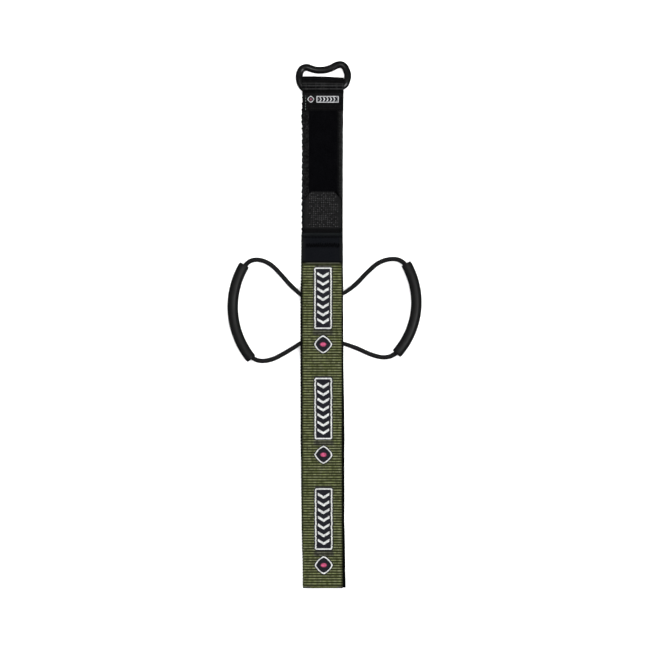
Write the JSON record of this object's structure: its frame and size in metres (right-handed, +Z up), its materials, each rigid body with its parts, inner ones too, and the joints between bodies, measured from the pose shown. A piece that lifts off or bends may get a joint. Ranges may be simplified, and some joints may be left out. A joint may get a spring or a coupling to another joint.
{
  "type": "hook-and-loop cinch strap",
  "caption": "Ribbed webbing strap with a cinch ring, pile face and hook tab, folded in half, with an elastic cord loop and rubber tube grip on each side.",
  "frame": {"origin": "on the surface that the folded strap lies on, under the middle of the strap's width and length", "axes": "+X across the strap to its right edge, +Y along the strap from the fold to the ring, +Z up out of the surface"},
  "size_m": [0.1455, 0.3951, 0.0077],
  "materials": {
    "olive_webbing": "ribbed jacquard weave, slight sheen",
    "black_webbing": "plain weave, matt",
    "pile": "brushed loop pile, velvety",
    "satin_band": "fine satin weave",
    "hook": "matt with a fine dotted grid",
    "ring_polymer": "satin",
    "cord_sheath": "fine braid, matt",
    "grip_rubber": "matt",
    "black_thread": "twisted thread",
    "pale_thread": "twisted thread"
  },
  "bodies": {
    "strap_back": {"base_webbing_back": "black_webbing", "outer_webbing_back": "olive_webbing", "pile_tape_back": "pile", "ring_webbing_return": "black_webbing", "ring_webbing_loop": "black_webbing", "ring_seam_stitches": "black_thread", "return_side_stitches": "pale_thread", "pile_edge_stitches": "black_thread", "outer_webbing_fold": "olive_webbing", "base_webbing_fold": "black_webbing", "pile_tape_fold": "pile"},
    "ring": {"cinch_ring": "ring_polymer"},
    "strap_tail": {"outer_webbing_tail": "olive_webbing", "base_webbing_tail": "black_webbing", "pile_tape_tail": "pile", "outer_edge_stitches": "black_thread", "channel_bartacks": "black_thread", "joining_band": "satin_band", "band_hem": "satin_band", "band_stitches": "black_thread", "cord_crossing_upper": "cord_sheath", "cord_crossing_lower": "cord_sheath"},
    "hook_tab": {"hook_tape": "hook", "hook_tab_backing": "hook"},
    "left_loop": {"left_cord": "cord_sheath"},
    "left_pull": {"left_grip": "grip_rubber"},
    "right_loop": {"right_cord": "cord_sheath"},
    "right_pull": {"right_grip": "grip_rubber"}
  },
  "joints": [
    {"name": "ring_swing", "type": "hinge", "parent": "strap_back", "child": "ring", "pos_m": [0.00113, 0.1774, 0.0036], "axis": [0.9979, 0.0645, 0], "range_deg": [-110, 165], "deforming": ["ring_webbing_loop"]},
    {"name": "tail_fold", "type": "hinge", "parent": "strap_back", "child": "strap_tail", "pos_m": [0, -0.1969, 0.00315], "axis": [1, 0, 0], "range_deg": [0, 180], "deforming": ["outer_webbing_fold", "base_webbing_fold", "pile_tape_fold"]},
    {"name": "hook_tab_peel", "type": "hinge", "parent": "strap_tail", "child": "hook_tab", "pos_m": [0, 0.07, 0.0053], "axis": [1, 0, 0], "range_deg": [0, 130]},
    {"name": "left_loop_swing", "type": "hinge", "parent": "strap_tail", "child": "left_loop", "pos_m": [-0.0169, 0, 0.00435], "axis": [0, 1, 0], "range_deg": [-80, 95]},
    {"name": "left_grip_pull", "type": "slide", "parent": "left_loop", "child": "left_pull", "axis": [-1, 0, 0], "range_m": [0, 0.045], "stiffness_N_per_m": 110, "deforming": ["left_cord"]},
    {"name": "right_loop_swing", "type": "hinge", "parent": "strap_tail", "child": "right_loop", "pos_m": [0.0169, 0, 0.00435], "axis": [0, -1, 0], "range_deg": [-80, 95]},
    {"name": "right_grip_pull", "type": "slide", "parent": "right_loop", "child": "right_pull", "axis": [1, 0, 0], "range_m": [0, 0.045], "stiffness_N_per_m": 110, "deforming": ["right_cord"]}
  ]
}
